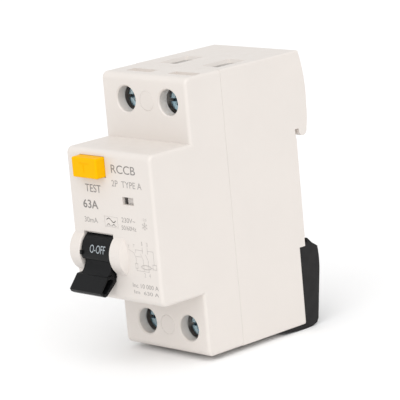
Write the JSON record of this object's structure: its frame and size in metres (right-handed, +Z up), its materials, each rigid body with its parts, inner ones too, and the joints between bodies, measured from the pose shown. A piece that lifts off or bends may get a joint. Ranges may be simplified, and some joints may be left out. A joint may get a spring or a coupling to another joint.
{
  "type": "residual current device",
  "caption": "Two-pole DIN-rail residual current device: off-white nose-and-shoulder housing, black lever, amber test button, cage terminals and sliding rail clip.",
  "frame": {"origin": "on the plane that rests on the rail, at the rail's centre line and the middle of the device's width", "axes": "+X to the right seen from the front, +Y to the rear towards the rail, +Z up"},
  "size_m": [0.036, 0.0731, 0.0851],
  "materials": {
    "housing_plastic": "fine moulded grain, warm off-white",
    "toggle_plastic": "satin black",
    "clip_plastic": "charcoal black, fine grain",
    "button_plastic": "amber yellow, satin",
    "cap_plastic": "off-white plug",
    "zinc_steel": "blue zinc plated",
    "spring_steel": "drawn wire",
    "bright_steel": "ground pin",
    "copper": "bare copper strip",
    "silver_contact": "silver alloy",
    "brass_metal": "stamped brass",
    "black_thermoset": "dark thermoset",
    "fibre_board": "vulcanised fibre",
    "ferrite": "wound strip core in a coating",
    "winding_enamel": "enamelled wire",
    "wire_insulation_blue": "flexible insulation",
    "wire_insulation_brown": "flexible insulation",
    "relay_shell": "sealed relay can",
    "pcb_green": "solder mask",
    "component_tan": "coated resistor",
    "component_black": "moulded component",
    "capacitor_sleeve": "shrink sleeve",
    "flag_plastic": "two-zone indicator"
  },
  "bodies": {
    "housing": {"front_cover": "housing_plastic", "rear_base": "housing_plastic", "case_screws": "zinc_steel", "case_screw_caps": "cap_plastic", "toggle_axle": "bright_steel", "toggle_spring": "spring_steel", "carrier_axle": "bright_steel", "fixed_contact_left": "copper", "fixed_contact_right": "copper", "fixed_contact_tips": "silver_contact", "lower_terminal_bar_left": "copper", "lower_terminal_bar_right": "copper", "arc_plates_left": "zinc_steel", "arc_plates_right": "zinc_steel", "arc_chute_cheeks": "fibre_board", "transformer_core": "ferrite", "transformer_winding": "winding_enamel", "primary_conductor_left": "wire_insulation_blue", "primary_conductor_right": "wire_insulation_brown", "relay_case": "relay_shell", "relay_coil": "winding_enamel", "relay_yoke": "bright_steel", "trip_lever_pin": "bright_steel", "flag_pin": "bright_steel", "test_button_spring": "spring_steel", "test_contact_post": "brass_metal", "circuit_board": "pcb_green", "board_resistors": "component_tan", "test_resistor": "component_tan", "board_diodes": "component_black", "board_capacitor": "capacitor_sleeve", "clip_spring": "spring_steel"},
    "toggle": {"toggle": "toggle_plastic"},
    "wire_link": {"wire_link": "spring_steel"},
    "contact_carrier": {"contact_carrier": "black_thermoset", "moving_contact_left": "copper", "moving_contact_right": "copper", "moving_contact_tips": "silver_contact", "contact_pressure_springs": "spring_steel"},
    "relay_plunger": {"relay_plunger": "bright_steel"},
    "trip_lever": {"trip_lever": "black_thermoset"},
    "indicator_flag": {"indicator_flag": "flag_plastic"},
    "test_button": {"test_button": "button_plastic"},
    "test_contact_strip": {"test_contact_strip": "brass_metal"},
    "rail_clip": {"rail_clip": "clip_plastic"},
    "terminal_screw_upper_left": {"terminal_screw_upper_left": "zinc_steel"},
    "cage_clamp_upper_left": {"cage_clamp_upper_left": "zinc_steel"},
    "terminal_screw_upper_right": {"terminal_screw_upper_right": "zinc_steel"},
    "cage_clamp_upper_right": {"cage_clamp_upper_right": "zinc_steel"},
    "terminal_screw_lower_left": {"terminal_screw_lower_left": "zinc_steel"},
    "cage_clamp_lower_left": {"cage_clamp_lower_left": "zinc_steel"},
    "terminal_screw_lower_right": {"terminal_screw_lower_right": "zinc_steel"},
    "cage_clamp_lower_right": {"cage_clamp_lower_right": "zinc_steel"}
  },
  "joints": [
    {"name": "toggle_hinge", "type": "hinge", "parent": "housing", "child": "toggle", "pos_m": [-0.0071, -0.0558, -0.0096], "axis": [-1, 0, 0], "range_deg": [0, 68]},
    {"name": "link_pivot", "type": "hinge", "parent": "toggle", "child": "wire_link", "pos_m": [-0.0034, -0.05781, -0.00662], "axis": [-1, 0, 0], "range_deg": [-68.1, 0.1]},
    {"name": "carrier_hinge", "type": "hinge", "parent": "housing", "child": "contact_carrier", "pos_m": [0, -0.0415, -0.018], "axis": [-1, 0, 0], "range_deg": [0, 20.05]},
    {"name": "flag_hinge", "type": "hinge", "parent": "housing", "child": "indicator_flag", "pos_m": [0.0079, -0.0525, 0.0074], "axis": [-1, 0, 0], "range_deg": [0, 36.05]},
    {"name": "trip_lever_hinge", "type": "hinge", "parent": "housing", "child": "trip_lever", "pos_m": [0.002, -0.052, 0.0002], "axis": [0, -1, 0], "range_deg": [0, 7.9]},
    {"name": "relay_plunger_slide", "type": "slide", "parent": "housing", "child": "relay_plunger", "axis": [0, 0, 1], "range_m": [0, 0.0011]},
    {"name": "test_button_slide", "type": "slide", "parent": "housing", "child": "test_button", "axis": [0, 1, 0], "range_m": [0, 0.0022], "stiffness_N_per_m": 400, "springref_m": -0.002, "deforming": ["test_button_spring"]},
    {"name": "test_strip_flex", "type": "hinge", "parent": "housing", "child": "test_contact_strip", "pos_m": [-0.015, -0.0482, 0.0168], "axis": [0, 0, 1], "range_deg": [0, 21.05]},
    {"name": "clip_slide", "type": "slide", "parent": "housing", "child": "rail_clip", "axis": [0, 0, -1], "range_m": [0, 0.0045], "stiffness_N_per_m": 1500, "springref_m": -0.003, "deforming": ["clip_spring"]},
    {"name": "terminal_screw_turn_upper_left", "type": "hinge", "parent": "housing", "child": "terminal_screw_upper_left", "pos_m": [-0.008, -0.039, 0.03345], "axis": [0, 1, 0], "range_deg": [0, 2926]},
    {"name": "cage_clamp_slide_upper_left", "type": "slide", "parent": "housing", "child": "cage_clamp_upper_left", "axis": [0, -1, 0], "range_m": [0, 0.0065]},
    {"name": "terminal_screw_turn_upper_right", "type": "hinge", "parent": "housing", "child": "terminal_screw_upper_right", "pos_m": [0.01, -0.039, 0.03345], "axis": [0, 1, 0], "range_deg": [0, 2926]},
    {"name": "cage_clamp_slide_upper_right", "type": "slide", "parent": "housing", "child": "cage_clamp_upper_right", "axis": [0, -1, 0], "range_m": [0, 0.0065]},
    {"name": "terminal_screw_turn_lower_left", "type": "hinge", "parent": "housing", "child": "terminal_screw_lower_left", "pos_m": [-0.008, -0.039, -0.0344], "axis": [0, 1, 0], "range_deg": [0, 2926]},
    {"name": "cage_clamp_slide_lower_left", "type": "slide", "parent": "housing", "child": "cage_clamp_lower_left", "axis": [0, -1, 0], "range_m": [0, 0.0065]},
    {"name": "terminal_screw_turn_lower_right", "type": "hinge", "parent": "housing", "child": "terminal_screw_lower_right", "pos_m": [0.01, -0.039, -0.0344], "axis": [0, 1, 0], "range_deg": [0, 2926]},
    {"name": "cage_clamp_slide_lower_right", "type": "slide", "parent": "housing", "child": "cage_clamp_lower_right", "axis": [0, -1, 0], "range_m": [0, 0.0065]}
  ],
  "couplings": [
    {"joint": "link_pivot", "follows": "toggle_hinge", "ratio": -1},
    {"joint": "carrier_hinge", "follows": "toggle_hinge", "ratio": 0.29412},
    {"joint": "flag_hinge", "follows": "toggle_hinge", "ratio": 0.52941},
    {"joint": "trip_lever_hinge", "follows": "relay_plunger_slide", "rad_per_m": 125},
    {"joint": "test_strip_flex", "follows": "test_button_slide", "rad_per_m": 166.6},
    {"joint": "terminal_screw_turn_upper_left", "follows": "cage_clamp_slide_upper_left", "rad_per_m": 7854},
    {"joint": "terminal_screw_turn_upper_right", "follows": "cage_clamp_slide_upper_right", "rad_per_m": 7854},
    {"joint": "terminal_screw_turn_lower_left", "follows": "cage_clamp_slide_lower_left", "rad_per_m": 7854},
    {"joint": "terminal_screw_turn_lower_right", "follows": "cage_clamp_slide_lower_right", "rad_per_m": 7854}
  ]
}
